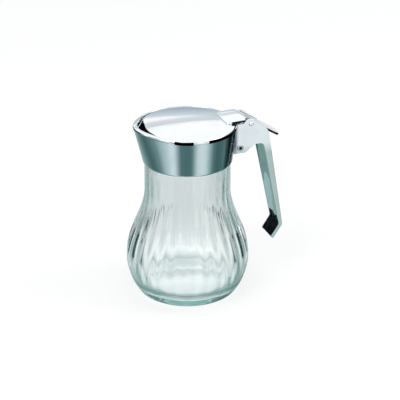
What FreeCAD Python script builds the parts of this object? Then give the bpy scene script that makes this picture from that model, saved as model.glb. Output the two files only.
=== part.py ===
import FreeCAD, Part
import math
import os

# Honey dispenser: a fluted glass jar in a metal pouring head, with a channel handle and a lid
# that a thumb lever tips up. The origin is the centre of the base, +Z is up, +X is the handle
# side and the lip pours towards -X. All sizes are in millimetres.

# Glass jar
belly_radius = 42.5
belly_height = 27.3          # height of the widest circle
neck_radius = 29.6
waist_rise = 49.7            # from the widest circle up to the straight neck
shoulder_height = 96.8       # step that lies under the head
glass_wall = 3.2
base_thickness = 6.0
floor_corner = 13.0          # inside radius where the floor meets the wall
foot_rise = 2.5              # rounded edge under the base: height and run
foot_run = 2.2
kick_radius = 24.0           # hollow under the base
kick_depth = 1.2
flute_count = 28
flute_depth = 0.45
flute_start = 9.0            # the flutes grow out of the smooth base here
flute_full = 24.0
flute_fade = 14.0            # they fade out over this height below the step
finish_inset = 1.2           # neck finish inside the head, set in from the neck
finish_wall = 2.4

# Pouring head: a flared shell, an upright rim band and a deck that rests on the glass
head_wall = 1.2
skirt_lift = 0.6             # skirt edge above the glass step
skirt_over = 1.1             # skirt beyond the neck
head_height = 25.8
band_height = 2.0
band_proud = 0.4             # the band stands out from the flare
back_flare = 3.1             # rim beyond the skirt at the handle
front_flare = 3.4            # and at the sides and the front
widen_from = 45.0            # degrees from the handle over which the rim widens
widen_to = 105.0
lip_reach = 4.0
lip_half_angle = 26.0
lip_rim = 3.2                # width of the rim band at the lip
lip_rise = 2.0               # the rim climbs this far to the lip
rise_from = 16.0             # starting this far in front of the axis
rim_chamfer = 0.5
deck_drop = 1.8              # deck below the rim
deck_thickness = 1.4
throat_inset = 0.2           # inside the bore of the neck finish

# Handle, pressed from sheet into a channel that is open towards the jar
handle_width = 19.6
foot_width = 17.0
sheet = 1.2
shoulder_out = 13.7          # the straight back of the grip starts behind the hinge
shoulder_drop = 13.6         # and below the rim
shoulder_rise = 6.0
shoulder_radius = 9.0
grip_lean = 11.5             # run and fall of the straight back
grip_height = 68.6
hook_length = 12.0
hook_angle = 56.0            # below horizontal
hook_radius = 2.4
web_drop = 1.3               # top of the web below the lug
flange_top = 5.0             # channel depth at the arch and at the foot
flange_foot = 2.6
plate_drop = 1.6             # top of the side plates below the rim
lug_lift = 2.9               # underside of the lug above the skirt edge
arch_rise = 5.4              # top of the finger arch above it
arch_radius = 3.2
arch_width = 6.4

# Hinge and cross rivet, both along Y
hinge_out = 8.8              # behind the rim
hinge_drop = 2.5             # below the rim
pin_radius = 1.5
pin_play = 0.05
pin_overhang = 0.5
ear_radius = 3.5
rivet_out = 4.2              # behind the skirt
rivet_lift = 3.8             # above the underside of the lug
rivet_radius = 1.6
rivet_bore = 0.9
rivet_bore_depth = 3.0
rivet_head_radius = 2.6
rivet_head = 0.7

# Lid with tongue and thumb lever
lid_gap = 0.3                # over the deck while shut
lid_play = 0.6               # to the rim band
rim_width = 0.8              # of the rim band at the back
lid_cut = 3.4                # the lid is cut back behind the lip
cut_from = 135.0             # degrees from the handle over which the cut-back sets in
cut_to = 165.0
lid_thickness = 1.3
dome_rise = 1.3
lid_chamfer = 0.45
tongue_width = 22.0
tongue_inset = 7.9           # tongue starts inside the edge of the lid
tongue_step = 1.8            # tongue top above the edge of the disc
tongue_gap = 4.4             # wide part ends in front of the hinge
fold_gap = 2.8               # fold in front of the hinge
fold_step = 2.4
fold_radius = 3.0
lever_sheet = 1.5
lever_play = 0.45            # to the side plates
lever_run = 22.8             # lever end behind the hinge
lever_fall = 13.7            # and below the edge of the lid
lever_end_radius = 4.5
knuckle_width = 2.0
knuckle_radius = 2.8

# Values that follow
tiny = 1e-6
skirt_z = shoulder_height + skirt_lift
rim_z = skirt_z + head_height
deck_z = rim_z - deck_drop
finish_top_z = deck_z - deck_thickness
finish_radius = neck_radius - finish_inset
throat_radius = finish_radius - finish_wall - throat_inset
skirt_radius = neck_radius + skirt_over
back_radius = skirt_radius + back_flare
front_radius = skirt_radius + front_flare
lip_slope = lip_rise / (front_radius + lip_reach - rise_from)
hinge_x = back_radius + hinge_out
hinge_z = rim_z - hinge_drop
plate_top_z = rim_z - plate_drop
lug_bottom_z = skirt_z + lug_lift
arch_top_z = lug_bottom_z + arch_rise
web_top_z = lug_bottom_z - web_drop
rivet_x = skirt_radius + rivet_out
rivet_z = lug_bottom_z + rivet_lift
shoulder_x = hinge_x + shoulder_out
shoulder_z = rim_z - shoulder_drop
foot_x = shoulder_x + grip_lean
foot_z = shoulder_z - grip_height
half_width = handle_width / 2
inner_half = half_width - sheet
lid_radius = back_radius - rim_width - lid_play
lid_front_radius = lid_radius - lid_cut
lid_bottom_z = deck_z + lid_gap
lid_edge_z = lid_bottom_z + lid_thickness
tongue_start_x = lid_radius - tongue_inset
tongue_end_x = hinge_x - tongue_gap
fold_x = hinge_x - fold_gap
lever_half = inner_half - lever_play
lever_end_x = hinge_x + lever_run
lever_end_z = lid_edge_z - lever_fall


def point(x, z, y=0.0):
    return FreeCAD.Vector(x, y, z)


def smooth(value, low, high):
    share = min(max((value - low) / (high - low), 0.0), 1.0)
    return share * share * (3 - 2 * share)


def edges_through(points):
    return [Part.makeLine(a, b) for a, b in zip(points, points[1:])]


def spline(points):
    curve = Part.BSplineCurve()
    curve.interpolate(points)
    return curve.toShape()


def revolved(edges):
    face = Part.Face(Part.Wire(edges))
    return face.revolve(point(0, 0), FreeCAD.Vector(0, 0, 1), 360)


def across(wire, half):
    """Extrudes an outline in the XZ plane to both sides of it."""
    face = Part.Face(wire)
    face.translate(FreeCAD.Vector(0, -half, 0))
    return face.extrude(FreeCAD.Vector(0, 2 * half, 0))


def cylinder_y(x, z, radius, half):
    return Part.makeCylinder(radius, 2 * half, point(x, z, -half), FreeCAD.Vector(0, 1, 0))


def closed_section(radius_at, z, arcs, steps):
    """Level outline in arcs that meet where the outline is square to its radius."""
    def place(angle):
        return point(radius_at(angle) * math.cos(angle), z, radius_at(angle) * math.sin(angle))

    def square(angle):
        return FreeCAD.Vector(-math.sin(angle), math.cos(angle), 0)

    edges = []
    span = 2 * math.pi / arcs
    for k in range(arcs):
        turns = [span * (k + i / steps) for i in range(steps + 1)]
        curve = Part.BSplineCurve()
        ends = {"InitialTangent": square(turns[0]), "FinalTangent": square(turns[-1])}
        curve.interpolate(Points=[place(a) for a in turns], **ends)
        edges.append(curve.toShape())
    return Part.Wire(edges)


# ---------------------------------------------------------------- jar
def body_radius(z):
    """Outer radius of the jar over the flute ridges."""
    if z <= belly_height:
        rounding = foot_run * max(1 - z / foot_rise, 0) ** 2
        return math.sqrt(belly_radius ** 2 - (belly_height - z) ** 2) - rounding
    share = min((z - belly_height) / waist_rise, 1.0)
    return neck_radius + (belly_radius - neck_radius) * (1 + math.cos(math.pi * share)) / 2


def flute_at(z):
    fade = smooth(shoulder_height - z, 0.0, flute_fade)
    return flute_depth * smooth(z, flute_start, flute_full) * fade * body_radius(z) / belly_radius


def jar_section(z):
    def radius_at(angle):
        return body_radius(z) - flute_at(z) * (1 - math.cos(flute_count * angle)) / 2
    return closed_section(radius_at, z, 4, flute_count)


def jar_cavity():
    inner = belly_radius - glass_wall
    drop = belly_height - base_thickness
    corner_x = math.sqrt((inner - floor_corner) ** 2 - (drop - floor_corner) ** 2)
    corner_z = base_thickness + floor_corner
    lean = math.atan2(corner_z - belly_height, corner_x)
    meet = point(inner * math.cos(lean), belly_height + inner * math.sin(lean))
    bend = (lean - math.pi / 2) / 2
    corner = Part.Arc(
        point(corner_x, base_thickness),
        point(corner_x + floor_corner * math.cos(bend), corner_z + floor_corner * math.sin(bend)),
        meet,
    )
    belly = Part.Arc(
        meet,
        point(inner * math.cos(lean / 2), belly_height + inner * math.sin(lean / 2)),
        point(inner, belly_height),
    )
    steps = 12
    waist = []
    for i in range(steps + 1):
        z = belly_height + waist_rise * i / steps
        waist.append(point(body_radius(z) - glass_wall, z))
    mouth = finish_radius - finish_wall
    above = finish_top_z + 5
    top = [waist[-1], point(mouth, shoulder_height), point(mouth, above), point(0, above)]
    floor = [point(0, above), point(0, base_thickness), point(corner_x, base_thickness)]
    return revolved(
        [corner.toShape(), belly.toShape(), spline(waist)] + edges_through(top) + edges_through(floor)
    )


def jar():
    """Lofted body, with the sections close together where the foot is rounded."""
    close = [foot_rise * (k / 6) ** 1.5 for k in range(12)]
    count = 26
    step = (shoulder_height - close[-1]) / count
    heights = close + [close[-1] + step * (i + 1) for i in range(count)]
    body = Part.makeLoft([jar_section(z) for z in heights], True, False)
    finish = Part.makeCylinder(finish_radius, finish_top_z - shoulder_height + 1, point(0, shoulder_height - 1))
    kick_ball = (kick_radius ** 2 + kick_depth ** 2) / (2 * kick_depth)
    kick = Part.makeSphere(kick_ball, point(0, kick_depth - kick_ball))
    return body.fuse(finish).cut(kick).cut(jar_cavity())


# ---------------------------------------------------------------- pouring head
def rim_outline(angle):
    """Rim radius: smaller at the handle, wider in front, with the lip at -X."""
    turn = abs(math.degrees(math.remainder(angle, 2 * math.pi)))
    lip = lip_reach * math.exp(-((180 - turn) / lip_half_angle) ** 2)
    return back_radius + (front_radius - back_radius) * smooth(turn, widen_from, widen_to) + lip


def recess_outline(angle):
    """Inside of the rim band: close round the lid, and just inside the rim at the lip."""
    turn = abs(math.degrees(math.remainder(angle, 2 * math.pi)))
    open_share = smooth(turn, cut_from, cut_to)
    around_lid = min(lid_radius + lid_play, rim_outline(angle) - head_wall / 2)
    return around_lid * (1 - open_share) + (rim_outline(angle) - lip_rim) * open_share


def rim_lift(angle):
    """How much higher than at the back the rim is at an angle."""
    reach = -rim_outline(angle) * math.cos(angle)
    return lip_slope * max(reach - rise_from, 0)


def flare(low_z, high_z, inset):
    """Solid inside the flared shell between two heights."""
    def radius_at(angle, z):
        share = max((z - skirt_z) / (rim_z - band_height + rim_lift(angle) - skirt_z), 0)
        return skirt_radius + (rim_outline(angle) - band_proud - skirt_radius) * share - inset
    sections = []
    for i in range(5):
        z = low_z + (high_z - low_z) * i / 4
        sections.append(closed_section(lambda a: radius_at(a, z), z, 2, 60))
    return Part.makeLoft(sections, True, False)


def prism(outline, low_z, high_z, chamfer=0.0):
    """Upright block under an outline, with its top edge cut at 45 degrees."""
    rows = [(low_z, 0.0), (high_z - chamfer, 0.0)]
    if chamfer > 0:
        rows.append((high_z, chamfer))
    sections = []
    for z, inset in rows:
        sections.append(closed_section(lambda a: outline(a) - inset, z, 2, 60))
    return Part.makeLoft(sections, True, True)


def climbing(body):
    """The same body, sheared upwards in front of where the rim starts to climb."""
    size = 4 * (front_radius + lip_reach)
    ahead = Part.makeBox(size, 2 * size, 2 * size, point(-rise_from - size, -size, -size))
    shear = FreeCAD.Matrix()
    shear.A31 = -lip_slope
    shear.A34 = -lip_slope * rise_from
    return body.cut(ahead).fuse(body.transformGeometry(shear).common(ahead)).removeSplitter()


def head():
    band_z = rim_z - band_height
    size = 4 * (front_radius + lip_reach)
    room = Part.makeBox(size, size, band_z, point(-size / 2, 0, -size / 2))
    shell = flare(skirt_z, band_z + lip_rise + 1, 0.0).common(climbing(room))
    shell = shell.fuse(climbing(prism(rim_outline, band_z, rim_z, rim_chamfer)))
    hollow = flare(skirt_z, finish_top_z, head_wall)
    recess = prism(recess_outline, deck_z, rim_z + lip_rise + 1)
    throat = Part.makeCylinder(throat_radius, deck_thickness + 2, point(0, finish_top_z - 1))
    return shell.cut(hollow).cut(recess).cut(throat).fuse(lug())


def lug():
    """Block behind the head that the handle straddles, rounded about the rivet."""
    nose = rivet_z - lug_bottom_z
    start = skirt_radius - head_wall
    block = Part.makeBox(
        rivet_x - start, 2 * inner_half, 2 * nose, point(start, lug_bottom_z, -inner_half)
    )
    block = block.fuse(cylinder_y(rivet_x, rivet_z, nose, inner_half))
    block = block.cut(flare(skirt_z, rim_z, head_wall / 2))
    return block.cut(cylinder_y(rivet_x, rivet_z, rivet_radius, inner_half + 1)).removeSplitter()


# ---------------------------------------------------------------- outlines
def rounded(corners):
    """Closed outline in the XZ plane from (x, z, radius) corners."""
    edges = []
    last = None
    first = None
    count = len(corners)
    for i in range(count):
        x, z, radius = corners[i]
        here = point(x, z)
        before = (point(*corners[i - 1][:2]) - here).normalize()
        after = (point(*corners[(i + 1) % count][:2]) - here).normalize()
        if radius > 0:
            half = before.getAngle(after) / 2
            reach = radius / math.tan(half)
            middle = (before + after).normalize() * (radius / math.sin(half) - radius)
            enter = here + before * reach
            leave = here + after * reach
            arc = Part.Arc(enter, here + middle, leave).toShape()
        else:
            enter = here
            leave = here
            arc = None
        if last is not None:
            edges.append(Part.makeLine(last, enter))
        else:
            first = enter
        if arc is not None:
            edges.append(arc)
        last = leave
    edges.append(Part.makeLine(last, first))
    return Part.Wire(edges)


def strip(corners, thickness):
    """Outline of a bent sheet from the (x, z, radius) corners of its upper face."""
    lower = []
    count = len(corners)
    for i in range(count):
        x, z, radius = corners[i]
        here = point(x, z)
        into = here - point(*corners[i - 1][:2]) if i > 0 else None
        out = point(*corners[i + 1][:2]) - here if i < count - 1 else None
        into = (into or out).normalize()
        out = out.normalize() if out else into
        normals = [FreeCAD.Vector(v.z, 0, -v.x) for v in (into, out)]
        total = normals[0] + normals[1]
        moved = here + total * (thickness / (1 + normals[0].dot(normals[1])))
        turn = into.cross(out).y
        inner = radius - thickness if turn > 0 else radius + thickness
        lower.append((moved.x, moved.z, inner if radius > 0 else 0))
    return rounded(list(corners) + lower[::-1])


# ---------------------------------------------------------------- handle
def back_x(z):
    """X of the straight back of the grip."""
    share = (shoulder_z - z) / (shoulder_z - foot_z)
    return shoulder_x + (foot_x - shoulder_x) * share


def hook_frame():
    """Inward normals of the grip and of the hook, and the direction of the hook."""
    lean = math.atan2(foot_x - shoulder_x, shoulder_z - foot_z)
    turn = math.radians(hook_angle)
    grip_normal = point(-math.cos(lean), -math.sin(lean))
    hook_normal = point(-math.sin(turn), math.cos(turn))
    return grip_normal, hook_normal, point(-math.cos(turn), -math.sin(turn))


def foot_corner(inset):
    grip_normal, hook_normal, _ = hook_frame()
    both = grip_normal + hook_normal
    return point(foot_x, foot_z) + both * (inset / (1 + grip_normal.dot(hook_normal)))


def hook_end(inset, extra=0.0):
    _, hook_normal, run = hook_frame()
    return point(foot_x, foot_z) + run * (hook_length + extra) + hook_normal * inset


def corner_of(place, radius):
    return place.x, place.z, radius


def handle_outline():
    arch_right = back_x(arch_top_z) - flange_top
    return rounded([
        (throat_radius, lug_bottom_z, 0),
        (throat_radius, plate_top_z, 0),
        (hinge_x - 1.6 * ear_radius, plate_top_z, 2),
        (hinge_x - ear_radius, hinge_z + ear_radius, ear_radius / 2),
        (hinge_x + 0.4 * ear_radius, hinge_z + ear_radius, ear_radius / 2),
        (back_x(shoulder_z + shoulder_rise), shoulder_z + shoulder_rise, shoulder_radius),
        (foot_x, foot_z, hook_radius + sheet),
        corner_of(hook_end(0), 1.0),
        corner_of(hook_end(flange_foot), 1.0),
        corner_of(foot_corner(flange_foot), hook_radius),
        (arch_right, arch_top_z, arch_radius),
        (arch_right - arch_width, arch_top_z, arch_radius / 2),
        (rivet_x + rivet_z - lug_bottom_z, lug_bottom_z, 3),
    ])


def channel_outline():
    left = throat_radius - 10
    top = hinge_z + 3 * ear_radius
    return rounded([
        (left, top, 0),
        (foot_x + 10, top, 0),
        (foot_x + 10, web_top_z, 0),
        (back_x(web_top_z) - sheet, web_top_z, 0),
        corner_of(foot_corner(sheet), hook_radius),
        corner_of(hook_end(sheet, 5), 0),
        (left, hook_end(sheet, 5).z, 0),
    ])


def tapered(outline, inset):
    """Extrudes a side outline; seen from behind, the grip narrows from the lug to the foot."""
    low_z = hook_end(0).z - 10
    slope = (handle_width - foot_width) / 2 / (lug_bottom_z - foot_z)
    low_half = half_width - slope * (lug_bottom_z - low_z)
    halves = [(half_width, hinge_z + 20), (half_width, lug_bottom_z), (low_half, low_z)]
    right = [FreeCAD.Vector(0, half - inset, z) for half, z in halves]
    left = [FreeCAD.Vector(0, inset - half, z) for half, z in halves[::-1]]
    front = Part.Face(Part.makePolygon(right + left + right[:1]))
    return across(outline, half_width).common(front.extrude(FreeCAD.Vector(foot_x + 20, 0, 0)))


def handle():
    body = tapered(handle_outline(), 0).cut(tapered(channel_outline(), sheet))
    body = body.cut(flare(skirt_z, rim_z, 0.0)).cut(prism(rim_outline, rim_z - band_height, rim_z))
    body = body.cut(cylinder_y(hinge_x, hinge_z, pin_radius, handle_width))
    return body.cut(cylinder_y(rivet_x, rivet_z, rivet_radius, handle_width))


# ---------------------------------------------------------------- pin and rivet
def hinge_pin():
    return cylinder_y(hinge_x, hinge_z, pin_radius, half_width + pin_overhang)


def rivet():
    """Tubular rivet with a rounded head on each side plate."""
    shank = cylinder_y(rivet_x, rivet_z, rivet_radius, half_width)
    for side in (-1, 1):
        axis = FreeCAD.Vector(0, side, 0)
        face_y = side * half_width
        top = face_y + side * rivet_head
        head = Part.makeCylinder(rivet_head_radius, rivet_head, point(rivet_x, rivet_z, face_y), axis)
        edge = [e for e in head.Edges if abs(e.BoundBox.YMin - top) + abs(e.BoundBox.YMax - top) < tiny]
        shank = shank.fuse(head.makeFillet(rivet_head * 0.7, edge))
        start = point(rivet_x, rivet_z, top)
        shank = shank.cut(Part.makeCylinder(rivet_bore, rivet_bore_depth, start, axis * -1))
    return shank.removeSplitter()


# ---------------------------------------------------------------- lid
def lid_outline(angle):
    turn = abs(math.degrees(math.remainder(angle, 2 * math.pi)))
    return lid_radius - (lid_radius - lid_front_radius) * smooth(turn, cut_from, cut_to)


def disc():
    """Shallow dome of even thickness, trimmed to the outline of the lid."""
    wide = lid_radius + 2

    def arc(edge_z):
        def place(radius):
            return point(radius, edge_z + dome_rise * (1 - (radius / lid_radius) ** 2))
        return Part.Arc(place(0), place(wide / 2), place(wide))

    lower = arc(lid_bottom_z)
    upper = arc(lid_edge_z)
    sides = [Part.makeLine(lower.StartPoint, upper.StartPoint), Part.makeLine(lower.EndPoint, upper.EndPoint)]
    plate = revolved([lower.toShape(), sides[1], upper.toShape(), sides[0]])
    top_z = lid_edge_z + dome_rise
    return plate.common(prism(lid_outline, lid_bottom_z - 2, top_z, dome_rise + lid_chamfer))


def lever_plan():
    """Seen from above: broad tongue over the head, narrower lever between the side plates."""
    broad = tongue_width / 2
    corners = [
        (tongue_start_x, -broad, 3),
        (tongue_end_x, -broad, 1),
        (tongue_end_x, -lever_half, 0.5),
        (lever_end_x, -lever_half, lever_end_radius),
    ]
    mirrored = [(x, -y, radius) for x, y, radius in corners[::-1]]
    outline = rounded(corners + mirrored)
    outline.rotate(FreeCAD.Vector(0, 0, 0), FreeCAD.Vector(1, 0, 0), -90)
    face = Part.Face(outline)
    face.translate(FreeCAD.Vector(0, 0, foot_z))
    return face.extrude(FreeCAD.Vector(0, 0, hinge_z))


def lever_line(x):
    """Upper face of the lever."""
    fold_z = lid_edge_z + fold_step
    return fold_z + (lever_end_z - fold_z) * (x - fold_x) / (lever_end_x - fold_x)


def knuckle(side):
    """Ear under the lever that turns on the pin."""
    left = hinge_x - knuckle_radius
    right = hinge_x + knuckle_radius
    sunk = 0.65 * lever_sheet
    outline = rounded([
        (left, hinge_z, 0),
        (left, lever_line(left) - sunk, 0),
        (right, lever_line(right) - sunk, 0),
        (right, hinge_z, 0),
    ])
    half = knuckle_width / 2
    ear = across(outline, half).fuse(cylinder_y(hinge_x, hinge_z, knuckle_radius, half))
    ear.translate(FreeCAD.Vector(0, side * (lever_half - half), 0))
    return ear


def lid():
    outline = strip([
        (tongue_start_x, lid_edge_z + tongue_step, 0),
        (fold_x, lid_edge_z + fold_step, fold_radius),
        (lever_end_x, lever_end_z, 0),
    ], lever_sheet)
    body = disc().fuse(across(outline, tongue_width).common(lever_plan()))
    for side in (-1, 1):
        body = body.fuse(knuckle(side))
    return body.cut(cylinder_y(hinge_x, hinge_z, pin_radius + pin_play, handle_width))


def main():
    nodes = {
        "jar": jar(),
        "pouring_head": head(),
        "handle": handle(),
        "hinge_pin": hinge_pin(),
        "handle_rivet": rivet(),
        "lid": lid(),
    }
    os.makedirs("parts", exist_ok=True)
    for name, shape in nodes.items():
        shape.exportStep("parts/" + name + ".step")
        print(name, len(shape.Solids), shape.isValid(), round(shape.Volume))


main()
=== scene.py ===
import bpy
import bmesh
import math
from mathutils import Matrix, Vector


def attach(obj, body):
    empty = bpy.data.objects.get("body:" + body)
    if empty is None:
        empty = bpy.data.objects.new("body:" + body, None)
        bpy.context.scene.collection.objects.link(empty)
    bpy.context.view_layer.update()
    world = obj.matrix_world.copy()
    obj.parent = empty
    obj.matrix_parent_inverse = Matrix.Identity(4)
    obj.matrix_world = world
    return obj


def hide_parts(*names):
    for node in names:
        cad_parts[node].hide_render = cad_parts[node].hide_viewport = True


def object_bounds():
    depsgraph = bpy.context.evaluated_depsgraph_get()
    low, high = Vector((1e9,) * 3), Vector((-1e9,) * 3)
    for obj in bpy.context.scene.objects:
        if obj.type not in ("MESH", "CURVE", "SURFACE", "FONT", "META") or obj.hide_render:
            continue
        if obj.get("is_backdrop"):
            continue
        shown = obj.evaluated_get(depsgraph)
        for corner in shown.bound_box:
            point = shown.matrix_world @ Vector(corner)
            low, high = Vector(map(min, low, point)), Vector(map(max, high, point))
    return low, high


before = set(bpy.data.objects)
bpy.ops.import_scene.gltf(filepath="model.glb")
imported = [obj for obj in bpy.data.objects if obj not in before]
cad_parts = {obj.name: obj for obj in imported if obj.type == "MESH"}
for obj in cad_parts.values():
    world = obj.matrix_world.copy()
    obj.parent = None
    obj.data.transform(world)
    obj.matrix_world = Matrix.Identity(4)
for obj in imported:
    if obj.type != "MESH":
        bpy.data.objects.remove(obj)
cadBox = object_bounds()
mm = 0.001

# sizes that several pieces share, in millimetres
shared = dict(
    skirtZ=97.4, rimZ=123.2, deckZ=121.4, throatTopZ=120.0,
    bandHeight=2.0, bandProud=0.4, wall=1.2,
    skirtRadius=30.7, backRadius=33.8, frontRadius=34.1,
    lipReach=4.0, lipHalfAngle=26.0, lipRise=2.0, riseFrom=16.0,
    lidRadius=32.4, lidFrontRadius=29.0, lidPlay=0.6, lidEdgeZ=123.0,
    cutFrom=135.0, cutTo=165.0,
    pinX=42.6, pinZ=120.7, rivetX=34.9, rivetZ=104.1, lugBottomZ=100.3,
    plateHalf=9.8, sheet=1.2,
)


def smoothStep(value, low, high):
    share = min(max((value - low) / (high - low), 0.0), 1.0)
    return share * share * (3 - 2 * share)


def steps(low, high, count):
    return [low + (high - low) * i / count for i in range(count + 1)]


def roundCorners(corners, arcSteps=6, closed=True):
    # (a, b, radius) corners become points with the corners rounded
    points = []
    count = len(corners)
    for i, (a, b, radius) in enumerate(corners):
        here = Vector((a, b))
        if radius <= 0 or (not closed and i in (0, count - 1)):
            points.append(here)
            continue
        before = (Vector(corners[i - 1][:2]) - here).normalized()
        after = (Vector(corners[(i + 1) % count][:2]) - here).normalized()
        half = before.angle(after) / 2
        middle = here + (before + after).normalized() * (radius / math.sin(half))
        enter = here + before * (radius / math.tan(half)) - middle
        leave = here + after * (radius / math.tan(half)) - middle
        for k in range(arcSteps + 1):
            points.append(middle + enter.slerp(leave, k / arcSteps) * radius)
    return points


def ringShell(bm, rings, segments, closed=False):
    # each ring gives radius and height at an angle; open shells close in a pole at both ends
    loop = bmesh.ops.create_circle(bm, cap_ends=False, radius=1.0, segments=segments)["verts"]
    angles = {v: math.atan2(v.co.y, v.co.x) for v in loop}
    edges = list({e for v in loop for e in v.link_edges})
    firstEdges = edges
    loops = []
    for i, ring in enumerate(rings):
        if i > 0:
            geom = bmesh.ops.extrude_edge_only(bm, edges=edges)["geom"]
            loop = [g for g in geom if isinstance(g, bmesh.types.BMVert)]
            edges = [g for g in geom if isinstance(g, bmesh.types.BMEdge)]
            angles = {v: math.atan2(v.co.y, v.co.x) for v in loop}
        for v, angle in angles.items():
            radius, z = ring(angle)
            v.co = Vector((radius * math.cos(angle), radius * math.sin(angle), z))
        loops.append(loop)
    if closed:
        bmesh.ops.bridge_loops(bm, edges=firstEdges + edges)
    else:
        for end in (loops[0], loops[-1]):
            bmesh.ops.pointmerge(bm, verts=end, merge_co=Vector((0, 0, end[0].co.z)))
    return loops


def plainRing(radius, z):
    return lambda angle: (radius, z)


def linkPiece(bm, name, materials):
    # from millimetres to a smooth piece in metres
    bmesh.ops.scale(bm, vec=(mm, mm, mm), verts=bm.verts)
    mesh = bpy.data.meshes.new(name)
    bm.to_mesh(mesh)
    bm.free()
    for material in materials:
        mesh.materials.append(material)
    mesh.polygons.foreach_set("use_smooth", [True] * len(mesh.polygons))
    piece = bpy.data.objects.new(name, mesh)
    bpy.context.scene.collection.objects.link(piece)
    return piece


def finishPiece(bm, name, material, bodyName, node, sharpDeg=None):
    bmesh.ops.recalc_face_normals(bm, faces=bm.faces)
    piece = linkPiece(bm, name, [material])
    if sharpDeg:
        piece.data.set_sharp_from_angle(angle=math.radians(sharpDeg))
    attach(piece, bodyName)
    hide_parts(node)
    return piece


def addModifier(piece, kind, **values):
    modifier = piece.modifiers.new(kind.title(), kind)
    for key, value in values.items():
        setattr(modifier, key, value)
    return modifier


def rgb(red, green, blue):
    # 0-255 display values to scene linear
    def linear(c):
        c = c / 255
        return c / 12.92 if c <= 0.04045 else ((c + 0.055) / 1.055) ** 2.4
    return (linear(red), linear(green), linear(blue), 1.0)


def addNode(tree, kind, inputs=None, **values):
    node = tree.nodes.new(kind)
    for key, value in values.items():
        setattr(node, key, value)
    for key, value in (inputs or {}).items():
        if isinstance(value, bpy.types.NodeSocket):
            tree.links.new(value, node.inputs[key])
        else:
            node.inputs[key].default_value = value
    return node


def addMath(tree, operation, *values, clamp=False):
    node = addNode(tree, "ShaderNodeMath", dict(enumerate(values)), operation=operation, use_clamp=clamp)
    return node.outputs[0]


def addMix(tree, share, first, second, blend="MIX"):
    inputs = {"Fac": share, "Color1": first, "Color2": second}
    return addNode(tree, "ShaderNodeMixRGB", inputs, blend_type=blend).outputs[0]


def addRange(tree, value, fromMin, fromMax, toMin=0.0, toMax=1.0):
    node = addNode(tree, "ShaderNodeMapRange", {
        "Value": value, "From Min": fromMin, "From Max": fromMax, "To Min": toMin, "To Max": toMax})
    return node.outputs[0]


def addNoise(tree, place, scale, detail, **inputs):
    node = addNode(tree, "ShaderNodeTexNoise", {"Vector": place, "Scale": scale, "Detail": detail, **inputs})
    return node.outputs[0]


def splitPlace(tree, place):
    return addNode(tree, "ShaderNodeSeparateXYZ", {"Vector": place}).outputs


def objectPlace(tree):
    return addNode(tree, "ShaderNodeTexCoord").outputs["Object"]


def newMaterial(name):
    material = bpy.data.materials.new(name)
    material.use_nodes = True
    return material, material.node_tree, material.node_tree.nodes["Principled BSDF"]


wearSizes = dict(
    smudgeScale=90.0, smudgeDetail=4.0, smudgeRoughness=0.6, smudgeFrom=0.45, smudgeTo=0.75,
    dullFrom=0.4, dullTo=0.8, dullest=0.93, rubbingScale=(260.0, 260.0, 5200.0), rubbingDetail=2.0,
    rubbingHeight=0.04, dentScale=45.0, dentDetail=1.0, reliefDepth=0.0004,
)


def makePolishWear():
    # smudges, fine rubbing marks and faint dents, for every metal piece
    group = bpy.data.node_groups.new("polishWear", "ShaderNodeTree")
    for name, kind, default in (
        ("Position", "NodeSocketVector", None),
        ("Roughness", "NodeSocketFloat", 0.08),
        ("Smudge", "NodeSocketFloat", 0.03),
        ("Rubbing", "NodeSocketFloat", 0.02),
        ("Tint", "NodeSocketColor", (0.8, 0.8, 0.8, 1)),
    ):
        socket = group.interface.new_socket(name, in_out="INPUT", socket_type=kind)
        if default is not None:
            socket.default_value = default
    for name, kind in (
        ("Color", "NodeSocketColor"), ("Roughness", "NodeSocketFloat"), ("Height", "NodeSocketFloat"),
    ):
        group.interface.new_socket(name, in_out="OUTPUT", socket_type=kind)
    w = wearSizes
    enter = addNode(group, "NodeGroupInput").outputs
    leave = addNode(group, "NodeGroupOutput")
    smudge = addNoise(group, enter["Position"], w["smudgeScale"], w["smudgeDetail"],
                      Roughness=w["smudgeRoughness"])
    stretched = addNode(group, "ShaderNodeMapping", {"Vector": enter["Position"], "Scale": w["rubbingScale"]})
    rubbing = addNoise(group, stretched.outputs[0], 1.0, w["rubbingDetail"])
    dents = addNoise(group, enter["Position"], w["dentScale"], w["dentDetail"])
    smudgeShare = addRange(group, smudge, w["smudgeFrom"], w["smudgeTo"])
    smudged = addMath(group, "MULTIPLY_ADD", smudgeShare, enter["Smudge"], enter["Roughness"])
    rubbed = addMath(group, "MULTIPLY_ADD", rubbing, enter["Rubbing"], smudged)
    dull = addRange(group, smudge, w["dullFrom"], w["dullTo"], 1.0, w["dullest"])
    group.links.new(addMix(group, 1.0, enter["Tint"], dull, "MULTIPLY"), leave.inputs["Color"])
    group.links.new(rubbed, leave.inputs["Roughness"])
    height = addMath(group, "MULTIPLY_ADD", rubbing, w["rubbingHeight"], dents)
    group.links.new(height, leave.inputs["Height"])
    return group


polishWear = makePolishWear()


def makeMetal(name, tint, roughness, smudge, rubbing, bump, shade=None):
    # shade gives a colour socket, of painted shade and painted reflections, that takes the place of the plain
    # tint
    material, tree, shader = newMaterial(name)
    place = objectPlace(tree)
    wear = addNode(tree, "ShaderNodeGroup", node_tree=polishWear)
    tree.links.new(place, wear.inputs["Position"])
    for key, value in (("Roughness", roughness), ("Smudge", smudge), ("Rubbing", rubbing), ("Tint", tint)):
        wear.inputs[key].default_value = value
    if shade:
        tree.links.new(shade(tree, place, tint), wear.inputs["Tint"])
    relief = addNode(tree, "ShaderNodeBump", {
        "Strength": bump, "Distance": wearSizes["reliefDepth"], "Height": wear.outputs["Height"]})
    tree.links.new(wear.outputs["Color"], shader.inputs["Base Color"])
    tree.links.new(wear.outputs["Roughness"], shader.inputs["Roughness"])
    tree.links.new(relief.outputs[0], shader.inputs["Normal"])
    shader.inputs["Metallic"].default_value = 1.0
    return material
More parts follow.
